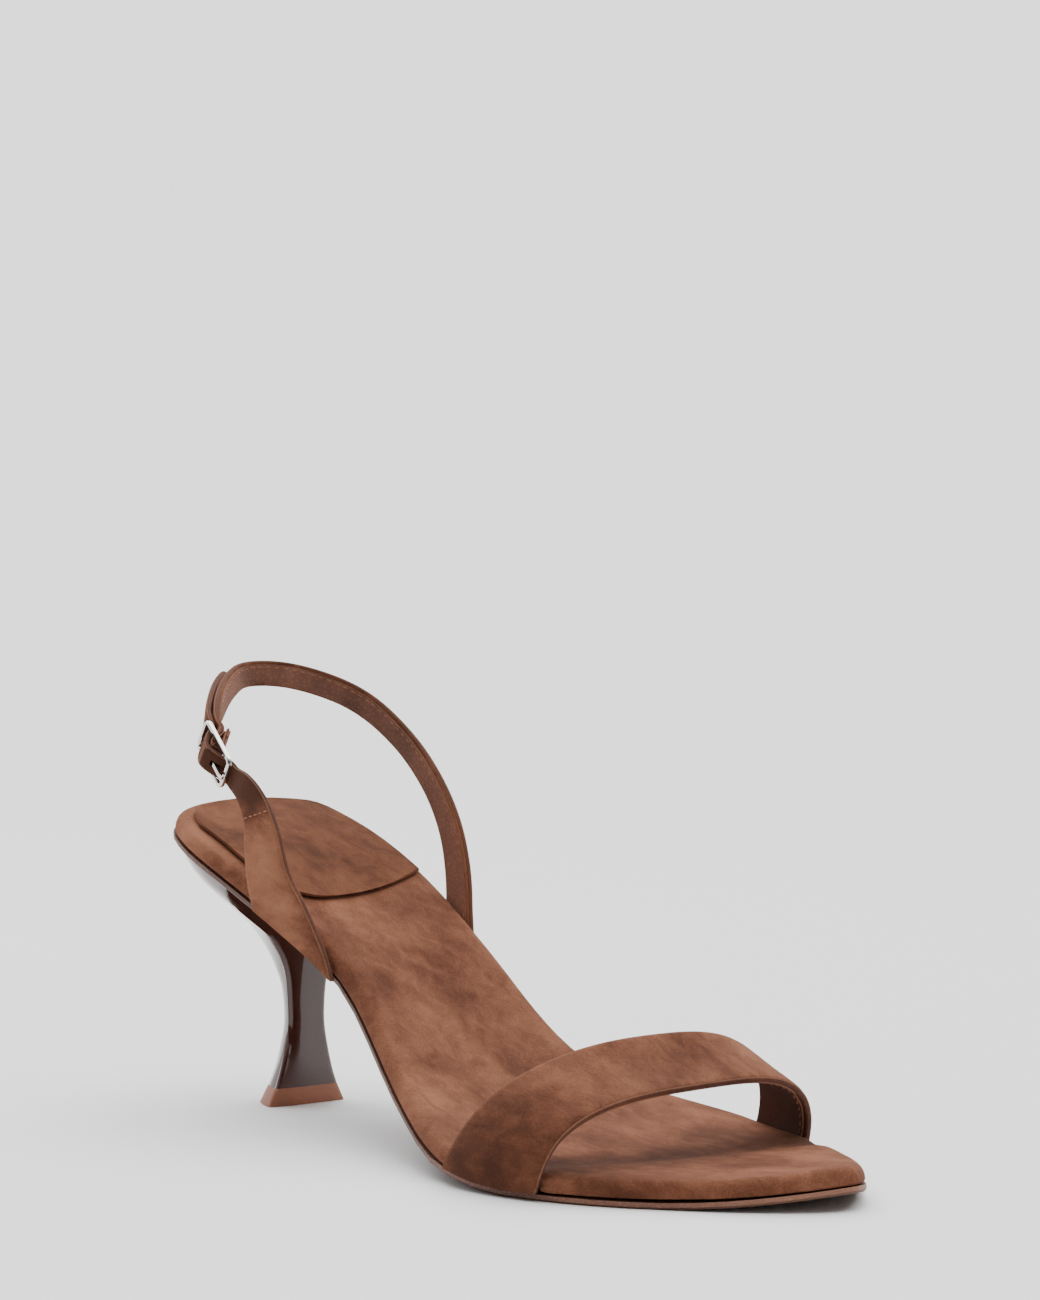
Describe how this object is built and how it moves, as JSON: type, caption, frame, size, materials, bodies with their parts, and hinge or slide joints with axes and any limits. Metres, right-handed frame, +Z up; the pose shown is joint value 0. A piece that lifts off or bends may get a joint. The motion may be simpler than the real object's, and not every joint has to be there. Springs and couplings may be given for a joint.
{
  "type": "slingback sandal",
  "caption": "Brown suede slingback sandal for the right foot, with a broad toe strap, a buckled ankle strap and a waisted heel.",
  "frame": {"origin": "the tread point, where the underside of the forepart rests on the floor, in line with the middle of the heel seat", "axes": "+X from the heel to the toe, +Y towards the inner side of the foot, +Z up from the floor"},
  "size_m": [0.2207, 0.0864, 0.1078],
  "materials": {
    "suede": "brushed suede",
    "sock": "brushed suede",
    "sole": "satin",
    "heel": "polished",
    "lift": "satin",
    "metal": "polished"
  },
  "bodies": {
    "root": {"outsole": "sole", "footbed": "suede", "heel_sock": "sock", "heel": "heel", "heel_top_piece": "lift", "toe_strap": "suede", "sling_strap": "suede", "lateral_strap": "suede", "buckle_frame": "metal", "buckle_prong": "metal"}
  },
  "joints": []
}
